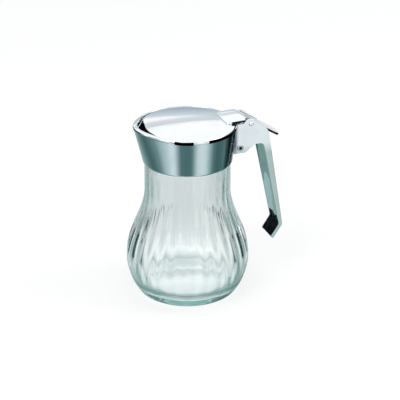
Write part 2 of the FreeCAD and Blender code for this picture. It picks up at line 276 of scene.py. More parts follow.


# where the painted shade and painted reflections on the metals lie, in metres
shadeSizes = dict(
    headFrom=0.0190, headTo=0.0215, plateFrom=0.0312, plateTo=0.0335, gripTop=0.106, gripBottom=0.098,
    flangeInside=0.0079, bendFrom=0.0068, bendFacing=(0.3, 0.6), bore=0.00115,
    foldX=0.0405, leverFrom=0.042, leverTo=0.055,
    rimDark=[(-113.8, 10.8), (-60.0, 25.0)],  # middle and half width in degrees about Z
)
# colours of the painted shade and painted reflections
shadeTones = dict(
    head=rgb(44, 58, 62), rim=rgb(8, 12, 14), plate=rgb(90, 104, 110), grip=rgb(186, 202, 198),
    bend=rgb(84, 100, 102), bore=rgb(14, 18, 20), lever=rgb(112, 124, 126),
)


def shadeHead(tree, place, tint):
    # painted shade: the flare is dark from beside the handle round the back
    near = addRange(tree, splitPlace(tree, place)["X"], shadeSizes["headFrom"], shadeSizes["headTo"])
    return addMix(tree, near, tint, shadeTones["head"])


def shadeRim(tree, place, tint):
    # painted reflections: the rim band is dark in two stretches of its turn
    parts = splitPlace(tree, place)
    turn = addMath(tree, "ARCTAN2", parts["Y"], parts["X"])
    look = tint
    for centre, half in shadeSizes["rimDark"]:
        dark = addMath(tree, "COMPARE", turn, math.radians(centre), math.radians(half))
        look = addMix(tree, dark, look, shadeTones["rim"])
    return look


def shadeHandle(tree, place, tint):
    # painted shade: darker beside the head, and greyer down the outside of the grip
    s = shadeSizes
    parts = splitPlace(tree, place)
    clear = addRange(tree, parts["X"], s["plateFrom"], s["plateTo"])
    look = addMix(tree, clear, shadeTones["plate"], tint)
    low = addRange(tree, parts["Z"], s["gripTop"], s["gripBottom"])
    aside = addMath(tree, "ABSOLUTE", parts["Y"])
    outside = addMath(tree, "GREATER_THAN", aside, s["flangeInside"])
    look = addMix(tree, addMath(tree, "MULTIPLY", low, outside), look, shadeTones["grip"])
    # painted shade along the bend at the back, and inside the rivet's bore
    normal = splitPlace(tree, addNode(tree, "ShaderNodeTexCoord").outputs["Normal"])
    back = addRange(tree, normal["X"], *s["bendFacing"])
    inBend = addMath(tree, "GREATER_THAN", aside, s["bendFrom"])
    look = addMix(tree, addMath(tree, "MULTIPLY", back, inBend), look, shadeTones["bend"])
    flat = addNode(tree, "ShaderNodeCombineXYZ", {"X": parts["X"], "Z": parts["Z"]}).outputs[0]
    axis = (shared["rivetX"] * mm, 0.0, shared["rivetZ"] * mm)
    away = addNode(tree, "ShaderNodeVectorMath", {0: flat, 1: axis}, operation="DISTANCE").outputs["Value"]
    return addMix(tree, addMath(tree, "LESS_THAN", away, s["bore"]), look, shadeTones["bore"])


def shadeLever(tree, place, tint):
    # painted shade: the lever is dark by the fold and clears towards its end
    along = splitPlace(tree, place)["X"]
    clear = addRange(tree, along, shadeSizes["leverFrom"], shadeSizes["leverTo"])
    lever = addMix(tree, clear, shadeTones["lever"], tint)
    return addMix(tree, addMath(tree, "GREATER_THAN", along, shadeSizes["foldX"]), tint, lever)


# every height in metres, for the glass
glassSizes = dict(
    mouldScale=55.0, mouldDetail=1.5, mouldBump=0.25, mouldDepth=0.0006, haze=0.03,
    # the streak, groove and side sizes place the painted dark reflections; footZ and the bounce counts place
    # the painted glow
    streakZ=0.040, streakHalf=0.008, streakEdge=0.003, grooveFrom=-0.1, grooveTo=-0.65,
    sideFrom=0.30, sideTo=0.42, footZ=0.0022, glowBounce=5.0, footBounce=1.0,
    indexOfRefraction=1.5, absorption=(0.0, 0.34, 0.31, 1), density=14.0,
)
# glass tones, with the colours of the painted glow and of the painted dark reflection streaks
glassTones = dict(
    clear=rgb(255, 255, 255), mould=rgb(250, 253, 253), dark=(0, 0, 0, 1),
    paintedGlow=rgb(186, 206, 205), paintedStreak=rgb(24, 42, 44),
)


def makeGlass(flutes):
    s, tones = glassSizes, glassTones
    material, tree, shader = newMaterial("clearGlass")
    place = objectPlace(tree)
    parts = splitPlace(tree, place)
    mould = addNoise(tree, place, s["mouldScale"], s["mouldDetail"])
    relief = addNode(tree, "ShaderNodeBump", {
        "Strength": s["mouldBump"], "Distance": s["mouldDepth"], "Height": mould})
    tree.links.new(relief.outputs[0], shader.inputs["Normal"])
    tree.links.new(addRange(tree, mould, 0.0, 1.0, 0.0, s["haze"]), shader.inputs["Roughness"])
    tint = addMix(tree, mould, tones["clear"], tones["mould"])
    # painted glow: the wall glows pale where a ray meets it on its fifth bounce, but not at the shoulder of
    # the belly, and the foot glows on the first bounce
    bounce = addNode(tree, "ShaderNodeLightPath").outputs["Ray Depth"]
    fromStreaks = addMath(tree, "ABSOLUTE", addMath(tree, "SUBTRACT", parts["Z"], s["streakZ"]))
    away = addRange(tree, fromStreaks, s["streakHalf"], s["streakHalf"] + s["streakEdge"])
    paintedGlow = addMath(tree, "COMPARE", bounce, s["glowBounce"], 0.5)
    inFoot = addMath(tree, "LESS_THAN", parts["Z"], s["footZ"])
    early = addMath(tree, "COMPARE", bounce, s["footBounce"], 0.5)
    footGlow = addMath(tree, "MULTIPLY", early, inFoot)
    lit = addMath(tree, "MULTIPLY_ADD", paintedGlow, away, footGlow, clamp=True)
    tree.links.new(addMix(tree, lit, tones["dark"], tones["paintedGlow"]), shader.inputs["Emission Color"])
    shader.inputs["Emission Strength"].default_value = 1.0
    # painted reflections: dark streaks in the grooves of the shoulder, where they are seen from the side
    turn = addMath(tree, "ARCTAN2", parts["Y"], parts["X"])
    wave = addMath(tree, "COSINE", addMath(tree, "MULTIPLY", turn, float(flutes)))
    groove = addRange(tree, wave, s["grooveFrom"], s["grooveTo"])
    facing = addNode(tree, "ShaderNodeLayerWeight", {"Blend": 0.5}).outputs["Facing"]
    side = addRange(tree, facing, s["sideFrom"], s["sideTo"])
    nearby = addMath(tree, "SUBTRACT", 1.0, away)
    paintedStreak = addMath(tree, "MULTIPLY", addMath(tree, "MULTIPLY", groove, side), nearby)
    tree.links.new(addMix(tree, paintedStreak, tint, tones["paintedStreak"]), shader.inputs["Base Color"])
    shader.inputs["IOR"].default_value = s["indexOfRefraction"]
    shader.inputs["Transmission Weight"].default_value = 1.0
    depth = addNode(tree, "ShaderNodeVolumeAbsorption", {"Color": s["absorption"], "Density": s["density"]})
    tree.links.new(depth.outputs[0], tree.nodes["Material Output"].inputs["Volume"])
    return material


polished = (rgb(240, 243, 245), 0.04, 0.05, 0.02, 0.04)  # tint, roughness, smudge, rubbing, bump
# the satin, rim, handle and lever finishes carry painted shade and painted reflections
satinMetal = makeMetal("satinSteel", rgb(244, 249, 249), 0.09, 0.05, 0.05, 0.05, shadeHead)
mirrorMetal = makeMetal("mirrorSteel", *polished)
rimMetal = makeMetal("rimSteel", *polished, shadeRim)
handleMetal = makeMetal("handleSteel", *polished, shadeHandle)
leverMetal = makeMetal("leverSteel", *polished, shadeLever)
# painted shade: the deck of the recess is near black
recessShadeMetal = makeMetal("recessPaintedShade", rgb(6, 8, 9), 0.15, 0.1, 0.05, 0.05)
recessShader = recessShadeMetal.node_tree.nodes["Principled BSDF"]
recessShader.inputs["Metallic"].default_value = 0.0  # no gloss, so the recess shows only its painted near-black shade
recessShader.inputs["Specular IOR Level"].default_value = 0.0
# painted shade: the lever's sheet edges are dark
edgeShadeMetal = makeMetal("sheetEdgePaintedShade", rgb(34, 40, 44), 0.2, 0.1, 0.05, 0.05)
# painted shade inside the rivet's bore
boreShadeMetal = makeMetal("borePaintedShade", rgb(34, 40, 42), 0.3, 0.1, 0.05, 0.05)
rivetMetal = makeMetal("rivetSteel", rgb(190, 194, 198), 0.2, 0.1, 0.05, 0.1)
print("materials ready")


jarSizes = dict(
    bellyRadius=42.5, bellyZ=27.3, neckRadius=29.6, waistRise=49.7, shoulderZ=96.8,
    wall=3.2, base=6.0, floorCorner=13.0, footRise=2.5, footRun=2.2, footSteps=8,
    wallRings=62, innerRings=32, stepRound=0.6, finishFoot=0.5, mouthRound=0.8,
    kickRadius=24.0, kickDepth=1.2, kickRings=(0.1, 6, 12, 17, 21), floorRings=(20, 14, 8, 3, 0.1),
    finishRadius=28.4, finishWall=2.4, finishLead=6,
    flutes=28, fluteDepth=0.35, fluteStart=9.0, fluteFull=24.0, fluteFade=14.0, fluteSteps=10,
    fluteExtra=0.2, fluteExtraZ=42.0, fluteExtraRun=11.0,
)


def jarRadius(z):
    s = jarSizes
    if z <= s["bellyZ"]:
        foot = s["footRun"] * max(1 - z / s["footRise"], 0) ** 2
        return math.sqrt(s["bellyRadius"] ** 2 - (s["bellyZ"] - z) ** 2) - foot
    share = min((z - s["bellyZ"]) / s["waistRise"], 1.0)
    return s["neckRadius"] + (s["bellyRadius"] - s["neckRadius"]) * (1 + math.cos(math.pi * share)) / 2


def flutedRing(z):
    s = jarSizes
    fade = smoothStep(z, s["fluteStart"], s["fluteFull"]) * smoothStep(s["shoulderZ"] - z, 0, s["fluteFade"])
    extra = s["fluteExtra"] * math.exp(-((z - s["fluteExtraZ"]) / s["fluteExtraRun"]) ** 2)
    depth = (s["fluteDepth"] + extra) * fade * jarRadius(z) / s["bellyRadius"]
    return lambda angle: (jarRadius(z) - depth * (1 - math.cos(s["flutes"] * angle)) / 2, z)


def makeJar():
    s = jarSizes
    bm = bmesh.new()
    rings = [plainRing(r, s["kickDepth"] * (1 - (r / s["kickRadius"]) ** 2))
             for r in (*s["kickRings"], s["kickRadius"])]
    rings += [plainRing(r, 0.0) for r in steps(s["kickRadius"] + 0.4, jarRadius(0), 3)]
    rings += [flutedRing(s["footRise"] * (k / s["footSteps"]) ** 1.5) for k in range(1, 12)]
    rings += [flutedRing(z) for z in steps(s["footRise"] * 1.65, s["shoulderZ"] - 0.8, s["wallRings"])]
    shoulder = roundCorners([
        (s["neckRadius"], s["shoulderZ"] - 0.7, 0), (s["neckRadius"], s["shoulderZ"], s["stepRound"]),
        (s["finishRadius"], s["shoulderZ"], s["finishFoot"]),
        (s["finishRadius"], s["shoulderZ"] + s["finishLead"], 0),
        (s["finishRadius"], shared["throatTopZ"], s["mouthRound"]),
        (s["finishRadius"] - s["finishWall"], shared["throatTopZ"], s["mouthRound"]),
        (s["finishRadius"] - s["finishWall"], s["shoulderZ"] + s["finishLead"], 0),
    ], 4, False)
    rings += [plainRing(p.x, p.y) for p in shoulder]
    top = s["bellyZ"] + s["waistRise"]
    mouth = s["finishRadius"] - s["finishWall"]
    for z in steps(s["shoulderZ"], top, 6):
        share = (s["shoulderZ"] - z) / (s["shoulderZ"] - top)
        rings.append(plainRing(mouth + (s["neckRadius"] - s["wall"] - mouth) * share, z))
    rings += [plainRing(jarRadius(z) - s["wall"], z) for z in steps(top - 1.5, s["bellyZ"], s["innerRings"])]
    inner = s["bellyRadius"] - s["wall"]
    drop = s["bellyZ"] - s["base"]
    cornerX = math.sqrt((inner - s["floorCorner"]) ** 2 - (drop - s["floorCorner"]) ** 2)
    cornerZ = s["base"] + s["floorCorner"]
    lean = math.atan2(cornerZ - s["bellyZ"], cornerX)
    rings += [plainRing(inner * math.cos(a), s["bellyZ"] + inner * math.sin(a))
              for a in steps(lean / 6, lean, 5)]
    corner = s["floorCorner"]
    rings += [plainRing(cornerX + corner * math.cos(a), cornerZ + corner * math.sin(a))
              for a in steps(lean - 0.08, -math.pi / 2, 14)]
    rings += [plainRing(r, s["base"]) for r in s["floorRings"]]
    ringShell(bm, rings, s["flutes"] * s["fluteSteps"])
    return finishPiece(bm, "glassJar", makeGlass(s["flutes"]), "dispenser", "jar")


makeJar()
print("jar made")


headSizes = dict(segments=240, lipRim=3.2, rimRound=0.7, innerRound=0.3, throatRadius=25.8, skirtRound=0.45)


def turnOf(angle):
    return abs(math.degrees(math.remainder(angle, 2 * math.pi)))


def rimRadius(angle):
    turn = turnOf(angle)
    lip = shared["lipReach"] * math.exp(-((180 - turn) / shared["lipHalfAngle"]) ** 2)
    wide = smoothStep(turn, 45, 105)
    return shared["backRadius"] + (shared["frontRadius"] - shared["backRadius"]) * wide + lip


def rimLift(angle):
    # the rim climbs in front, up to the lip
    reach = -rimRadius(angle) * math.cos(angle)
    slope = shared["lipRise"] / (shared["frontRadius"] + shared["lipReach"] - shared["riseFrom"])
    return slope * max(reach - shared["riseFrom"], 0)


def recessRadius(angle):
    opened = smoothStep(turnOf(angle), shared["cutFrom"], shared["cutTo"])
    aroundLid = min(shared["lidRadius"] + shared["lidPlay"], rimRadius(angle) - shared["wall"] / 2)
    return aroundLid * (1 - opened) + (rimRadius(angle) - headSizes["lipRim"]) * opened


def flareRadius(z, angle):
    bandZ = shared["rimZ"] - shared["bandHeight"] + rimLift(angle)
    share = max((z - shared["skirtZ"]) / (bandZ - shared["skirtZ"]), 0)
    edge = rimRadius(angle) - shared["bandProud"]
    return shared["skirtRadius"] + (edge - shared["skirtRadius"]) * share


def flareRing(z, inset=0.0):
    return lambda angle: (flareRadius(z, angle) - inset, z)


def flareShareRing(share):
    # share 0 is the skirt edge and 1 the underside of the rim band
    def ring(angle):
        bandZ = shared["rimZ"] - shared["bandHeight"] + rimLift(angle)
        z = shared["skirtZ"] + (bandZ - shared["skirtZ"]) * share
        return flareRadius(z, angle), z
    return ring


def bandRing(share, z, inset=0.0, drop=0.0):
    # share 0 is the rim's outline and 1 the recess; inset and drop are limited by the band's width
    def ring(angle):
        outer, inner = rimRadius(angle), recessRadius(angle)
        limit = min(1.0, (outer - inner) * 0.4 / headSizes["rimRound"])
        radius = outer - inset * limit if share == 0 else inner + inset * limit
        return radius, z + rimLift(angle) - drop * limit
    return ring


def makeHead():
    s = headSizes
    skirtZ, rimZ, deckZ, topZ = (shared[k] for k in ("skirtZ", "rimZ", "deckZ", "throatTopZ"))
    bandZ = rimZ - shared["bandHeight"]
    wall = shared["wall"]
    bm = bmesh.new()
    rings = [flareRing(skirtZ + s["skirtRound"] * (1 - math.sin(a)), s["skirtRound"] * (1 - math.cos(a)))
             for a in steps(math.pi / 2, 0, 4)]
    rings += [flareShareRing(share) for share in steps(0.05, 1.0, 16)]
    rings += [bandRing(0, bandZ, 0.12), bandRing(0, bandZ + 0.15), bandRing(0, rimZ - 0.9)]
    rings += [bandRing(0, rimZ, s["rimRound"] * (1 - math.cos(a)), s["rimRound"] * (1 - math.sin(a)))
              for a in steps(0, math.pi / 2, 5)]
    rings += [bandRing(1, rimZ, s["innerRound"] * (1 - math.sin(a)), s["innerRound"] * (1 - math.cos(a)))
              for a in steps(0, math.pi / 2, 3)]
    rings += [bandRing(1, rimZ - 1.0), lambda angle: (recessRadius(angle), deckZ + 0.3)]
    rings += [lambda angle: (recessRadius(angle) - 0.3, deckZ)]
    rings += [plainRing(s["throatRadius"] + r, deckZ - d)
              for r, d in ((3.0, 0), (0.4, 0), (0.12, 0.12), (0, 0.4))]
    rings += [plainRing(s["throatRadius"], topZ), plainRing(29.0, topZ), flareRing(topZ, wall)]
    rings += [flareRing(z, wall) for z in steps(topZ - 1, skirtZ + 0.5, 8)]
    ringShell(bm, rings, s["segments"], closed=True)
    # the deck of the recess takes the painted near-black shade; faces above the band take the rim finish with
    # its painted reflections
    for face in bm.faces:
        middle = face.calc_center_median()
        angle = math.atan2(middle.y, middle.x)
        reach = Vector((middle.x, middle.y)).length
        if deckZ - 0.5 < middle.z < deckZ + 0.1 and reach < recessRadius(angle) + 0.05:
            face.material_index = 2
        elif middle.z > bandZ + rimLift(angle) - 0.05:
            face.material_index = 1
    addLug(bm)
    head = finishPiece(bm, "pouringHead", satinMetal, "dispenser", "pouring_head", 50)
    head.data.materials.append(rimMetal)
    head.data.materials.append(recessShadeMetal)
    return head


def addLug(bm):
    # block behind the head that the handle straddles, rounded about the rivet
    half = shared["plateHalf"] - shared["sheet"]
    nose = shared["rivetZ"] - shared["lugBottomZ"]
    start = shared["skirtRadius"] - shared["wall"] / 2
    outline = roundCorners([
        (start, shared["lugBottomZ"], 0), (shared["rivetX"] + nose, shared["lugBottomZ"], nose - 0.02),
        (shared["rivetX"] + nose, shared["rivetZ"] + nose, nose - 0.02),
        (start + 1.0, shared["rivetZ"] + nose, 0),
    ])
    face = bm.faces.new([bm.verts.new((p.x, -half, p.y)) for p in outline])
    top = bmesh.ops.extrude_face_region(bm, geom=[face])["geom"]
    moved = [g for g in top if isinstance(g, bmesh.types.BMVert)]
    bmesh.ops.translate(bm, vec=(0, 2 * half, 0), verts=moved)


makeHead()
print("pouring head made")


handleSizes = dict(
    footHalf=8.5, shoulderX=56.3, shoulderZ=109.6, shoulderRise=6.0, shoulderRadius=9.0,
    footX=67.8, footZ=41.0, hookLength=12.0, hookAngle=56.0, hookRadius=2.4,
    webTopZ=99.0, flangeTop=5.0, flangeFoot=2.6, plateTopZ=121.6,
    archTopZ=105.7, archRadius=3.2, archWidth=6.4, earRadius=3.5,
    bend=1.3, edge=0.22,
)


def backX(z):
    s = handleSizes
    drop = (s["shoulderZ"] - z) / (s["shoulderZ"] - s["footZ"])
    return s["shoulderX"] + (s["footX"] - s["shoulderX"]) * drop


def plateHalfAt(z):
    s = handleSizes
    share = max(shared["lugBottomZ"] - z, 0) / (shared["lugBottomZ"] - s["footZ"])
    return shared["plateHalf"] - (shared["plateHalf"] - s["footHalf"]) * share


def headEdge(z, depth=0.5):
    # x where the side plates run into the head's wall
    angle = math.atan2(shared["plateHalf"], shared["backRadius"])
    radius = (rimRadius(0) if z > shared["rimZ"] - shared["bandHeight"] else flareRadius(z, angle)) - depth
    return math.sqrt(radius ** 2 - shared["plateHalf"] ** 2)


def makeHandle():
    s = handleSizes
    sheet = shared["sheet"]
    lean = math.atan2(s["footX"] - s["shoulderX"], s["shoulderZ"] - s["footZ"])
    turn = math.radians(s["hookAngle"])
    foot = Vector((s["footX"], s["footZ"]))
    hookRun = Vector((-math.cos(turn), -math.sin(turn)))
    gripNormal = Vector((-math.cos(lean), -math.sin(lean)))
    hookNormal = Vector((-math.sin(turn), math.cos(turn)))
    innerFoot = foot + (gripNormal + hookNormal) * (s["flangeFoot"] / (1 + gripNormal.dot(hookNormal)))
    hookEnd = foot + hookRun * s["hookLength"]
    hookInner = hookEnd + hookNormal * s["flangeFoot"]
    archRight = backX(s["archTopZ"]) - s["flangeTop"]
    pinX, pinZ = shared["pinX"], shared["pinZ"]
    back = roundCorners([
        (backX(s["webTopZ"]), s["webTopZ"], 0), (foot.x, foot.y, s["hookRadius"] + sheet), (*hookEnd, 0),
    ], 8, False)
    front = roundCorners([
        (*back[-1], 0), (*hookInner, 1.0), (*innerFoot, s["hookRadius"]),
        (archRight, s["archTopZ"], s["archRadius"]),
        (archRight - s["archWidth"], s["archTopZ"], s["archRadius"] / 2),
        (shared["rivetX"] + shared["rivetZ"] - shared["lugBottomZ"], shared["lugBottomZ"], 3),
        (headEdge(shared["lugBottomZ"]), shared["lugBottomZ"], 0),
        (headEdge(121.0), 121.0, 0), (headEdge(121.3), 121.3, 0), (headEdge(121.3), s["plateTopZ"], 0),
        (pinX - 1.6 * s["earRadius"], s["plateTopZ"], 2),
        (pinX - s["earRadius"], pinZ + s["earRadius"], s["earRadius"] / 2),
        (pinX + 0.4 * s["earRadius"], pinZ + s["earRadius"], s["earRadius"] / 2),
        (backX(s["shoulderZ"] + s["shoulderRise"]), s["shoulderZ"] + s["shoulderRise"], s["shoulderRadius"]),
        (*back[0], 0),
    ], 8, False)[1:-1]
    bm = bmesh.new()
    plates = []
    for side in (-1, 1):
        verts = [bm.verts.new((p.x, side, p.y)) for p in back + front]
        plates.append(verts)
        bm.faces.new(verts)
    for i in range(len(back) - 1):
        left, right = plates
        bm.faces.new((left[i], left[i + 1], right[i + 1], right[i]))
    # the plates taper below the lug
    geom = list(bm.verts) + list(bm.edges) + list(bm.faces)
    taperFrom = (0, 0, shared["lugBottomZ"])
    bmesh.ops.bisect_plane(bm, geom=geom, plane_co=taperFrom, plane_no=(0, 0, 1), dist=1e-5)
    for v in bm.verts:
        v.co.y *= plateHalfAt(v.co.z)
    bmesh.ops.recalc_face_normals(bm, faces=bm.faces)
    if sum(f.normal.x * f.calc_area() for f in bm.faces if abs(f.normal.y) < 0.5) < 0:
        bmesh.ops.reverse_faces(bm, faces=bm.faces)
    bends = []
    for edge in bm.edges:
        slants = sorted(abs(face.normal.y) for face in edge.link_faces)
        if len(slants) == 2 and slants[0] < 0.5 < slants[1]:
            bends.append(edge)
    bmesh.ops.bevel(bm, geom=bends, offset=s["bend"], offset_type="OFFSET", segments=5, profile=0.5,
                    affect="EDGES", material=-1, clamp_overlap=True)
    piece = linkPiece(bm, "channelHandle", [handleMetal])
    addModifier(piece, "SOLIDIFY", thickness=sheet * mm, offset=-1.0, use_even_offset=True)
    addModifier(piece, "BEVEL", width=s["edge"] * mm, segments=2, limit_method="ANGLE",
                angle_limit=math.radians(50), use_clamp_overlap=True, harden_normals=False)
    addModifier(piece, "WEIGHTED_NORMAL", keep_sharp=True)
    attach(piece, "dispenser")
    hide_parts("handle")
    return piece


makeHandle()
print("handle made")


pinSizes = dict(radius=1.5, half=10.3, round=0.35)
rivetSizes = dict(radius=1.6, bore=1.05, boreDepth=3.0, headRadius=2.3, headHeight=0.35)


def turnedPiece(name, profile, x, z, material, node):
    # profile of (radius, place along the axis), laid along Y
    bm = bmesh.new()
    ringShell(bm, [plainRing(r, along) for r, along in profile], 48)
    bmesh.ops.rotate(bm, cent=(0, 0, 0), matrix=Matrix.Rotation(math.radians(90), 3, "X"), verts=bm.verts)
    bmesh.ops.translate(bm, vec=(x, 0, z), verts=bm.verts)
    return finishPiece(bm, name, material, "dispenser", node, 40)


def makePinAndRivet():
    s = pinSizes
    end = [(p.x, p.y) for p in roundCorners(
        [(0.05, s["half"], 0), (s["radius"], s["half"], s["round"]), (s["radius"], 0, 0)], 4, False)]
    profile = end + [(r, -along) for r, along in end[::-1][1:]]
    turnedPiece("hingePin", profile, shared["pinX"], shared["pinZ"], mirrorMetal,
                "hinge_pin")
    s = rivetSizes
    face = shared["plateHalf"]
    top = face + s["headHeight"]
    end = [(p.x, p.y) for p in roundCorners([
        (0.05, top - s["boreDepth"], 0), (s["bore"], top - s["boreDepth"], 0.1), (s["bore"], top, 0.15),
        (s["headRadius"], top, 0.3), (s["headRadius"], face, 0), (s["radius"], face, 0), (s["radius"], 0, 0),
    ], 4, False)]
    profile = end + [(r, -along) for r, along in end[::-1][1:]]
    rivet = turnedPiece("crossRivet", profile, shared["rivetX"], shared["rivetZ"], rivetMetal,
                        "handle_rivet")
    # faces inside the bore take the painted shade
    rivet.data.materials.append(boreShadeMetal)
    axis = Vector((shared["rivetX"], 0, shared["rivetZ"])) * mm
    for face in rivet.data.polygons:
        away = face.center - axis
        if math.hypot(away.x, away.z) < (s["bore"] + 0.1) * mm:
            face.material_index = 1


makePinAndRivet()
print("pin and rivet made")


lidSizes = dict(
    thickness=1.3, domeRise=1.3, edgeRound=0.5, segments=240,
    tongueHalf=11.0, tongueStartX=24.5, tongueStep=1.8, tongueEndX=38.2,
    foldX=39.8, foldStep=2.4, leverSheet=1.5, leverHalf=8.15, leverEndX=65.4, leverEndZ=109.3,
    leverEndRadius=4.5, knuckleWidth=2.0, knuckleRadius=2.8, camber=0.35,
    brightFront=3, leverEdge=0.3, foldBlend=0.9,
)


def lidRadiusAt(angle):
    cut = smoothStep(turnOf(angle), shared["cutFrom"], shared["cutTo"])
    return shared["lidRadius"] - (shared["lidRadius"] - shared["lidFrontRadius"]) * cut


def lidRing(inset, drop, under=False):
    # inset is from the outline; heights follow the dome
    def ring(angle):
        radius = max(lidRadiusAt(angle) - inset, 0.1)
        dome = lidSizes["domeRise"] * (1 - (radius / shared["lidRadius"]) ** 2)
        return radius, shared["lidEdgeZ"] + dome - drop - (lidSizes["thickness"] if under else 0)
    return ring


def lidShareRing(share, under=False):
    def ring(angle):
        radius = lidRadiusAt(angle) * share
        dome = lidSizes["domeRise"] * (1 - (radius / shared["lidRadius"]) ** 2)
        return radius, shared["lidEdgeZ"] + dome - (lidSizes["thickness"] if under else 0)
    return ring


def makeLidDisc():
    s = lidSizes
    bm = bmesh.new()
    shares = [0.004] + steps(0.06, 0.96, 18)
    r = s["edgeRound"]
    rings = [lidShareRing(share, True) for share in shares]
    rings += [lidRing(0.2, 0, True), lidRing(0.06, -0.06, True), lidRing(0, -0.2, True)]
    rings += [lidRing(r * (1 - math.cos(a)), r * (1 - math.sin(a))) for a in steps(0, math.pi / 2, 5)]
    rings += [lidShareRing(share) for share in shares[::-1]]
    ringShell(bm, rings, s["segments"])
    return finishPiece(bm, "lidDisc", mirrorMetal, "lid_lever", "lid", 60)


def leverTopZ(x):
    s = lidSizes
    edgeZ = shared["lidEdgeZ"]
    flat = edgeZ + s["tongueStep"] + (s["foldStep"] - s["tongueStep"]) * (x - s["tongueStartX"]) / (
        s["foldX"] - s["tongueStartX"])
    foldZ = edgeZ + s["foldStep"]
    steep = foldZ + (s["leverEndZ"] - foldZ) * (x - s["foldX"]) / (s["leverEndX"] - s["foldX"])
    return (flat + steep - math.sqrt((flat - steep) ** 2 + s["foldBlend"] ** 2)) / 2 + 0.02


def makeLever():
    s = lidSizes
    corners = [
        (s["tongueStartX"], -s["tongueHalf"], 3), (s["tongueEndX"], -s["tongueHalf"], 1),
        (s["tongueEndX"], -s["leverHalf"], 0.5), (s["leverEndX"], -s["leverHalf"], s["leverEndRadius"]),
    ]
    corners += [(x, -y, radius) for x, y, radius in corners[::-1]]
    bm = bmesh.new()
    bm.faces.new([bm.verts.new((p.x, p.y, 0)) for p in roundCorners(corners, 8)])
    cuts = [((x, 0, 0), (1, 0, 0)) for x in steps(26, 64, 38)]
    cuts += [((0, y, 0), (0, 1, 0)) for y in steps(-9, 9, 9)]
    for place, normal in cuts:
        geom = list(bm.verts) + list(bm.edges) + list(bm.faces)
        bmesh.ops.bisect_plane(bm, geom=geom, plane_co=place, plane_no=normal, dist=1e-5)
    for v in bm.verts:
        v.co.z = leverTopZ(v.co.x) - s["camber"] * (v.co.y / s["tongueHalf"]) ** 2
    bmesh.ops.recalc_face_normals(bm, faces=bm.faces)
    if sum(f.normal.z for f in bm.faces) < 0:
        bmesh.ops.reverse_faces(bm, faces=bm.faces)
    piece = linkPiece(bm, "thumbLever", [leverMetal, edgeShadeMetal, leverMetal, leverMetal])
    for face in piece.data.polygons:
        # faces at the front of the tongue keep a bright rim; the other sheet edges take the painted dark
        # shade
        face.material_index = 2 if face.center.x < (s["tongueStartX"] + s["brightFront"]) * mm else 0
    addModifier(piece, "SOLIDIFY", thickness=s["leverSheet"] * mm, offset=-1.0, use_even_offset=True,
                material_offset_rim=1)
    addModifier(piece, "BEVEL", width=s["leverEdge"] * mm, segments=3, limit_method="ANGLE",
                angle_limit=math.radians(50))
    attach(piece, "lid_lever")
    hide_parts("lid")
    return piece


def makeKnuckles():
    s = lidSizes
    bm = bmesh.new()
    pinX, pinZ, radius = shared["pinX"], shared["pinZ"], s["knuckleRadius"]
    outline = []
    for a in steps(math.pi, 2 * math.pi, 16):
        outline.append((pinX + radius * math.cos(a), pinZ + radius * math.sin(a)))
    for x in steps(pinX + radius, pinX - radius, 6):
        outline.append((x, leverTopZ(x) - 0.65 * s["leverSheet"]))
    for side in (-1, 1):
        start = side * s["leverHalf"]
        face = bm.faces.new([bm.verts.new((x, start, z)) for x, z in outline])
        geom = bmesh.ops.extrude_face_region(bm, geom=[face])["geom"]
        moved = [g for g in geom if isinstance(g, bmesh.types.BMVert)]
        bmesh.ops.translate(bm, vec=(0, -side * s["knuckleWidth"], 0), verts=moved)
    edges = [e for e in bm.edges if e.calc_face_angle(0) > 1.2]
    bmesh.ops.bevel(bm, geom=edges, offset=0.2, segments=2, profile=0.5, affect="EDGES", material=-1)
    return finishPiece(bm, "leverKnuckles", mirrorMetal, "lid_lever", "lid", 40)


makeLidDisc()
makeLever()
makeKnuckles()
print("lid and lever made")


studio = dict(
    cameraTurn=-20.0, cameraRise=24.5, distance=1.3, aimZ=0.065, lens=169.6, shiftX=0.03125, shiftY=0.005,
    sensorWidth=36.0, clipStart=0.01, floorSize=6.0, floorGlow=0.72, lampAimZ=0.06,
    # name, place, size and power of each lamp
    lamps=[
        ("softLampLeft", (-0.7, -0.5, 1.0), (0.7, 0.7), 6.0),
        ("softLampRight", (0.8, -0.3, 0.9), (0.5, 0.7), 3.6),
    ],
)
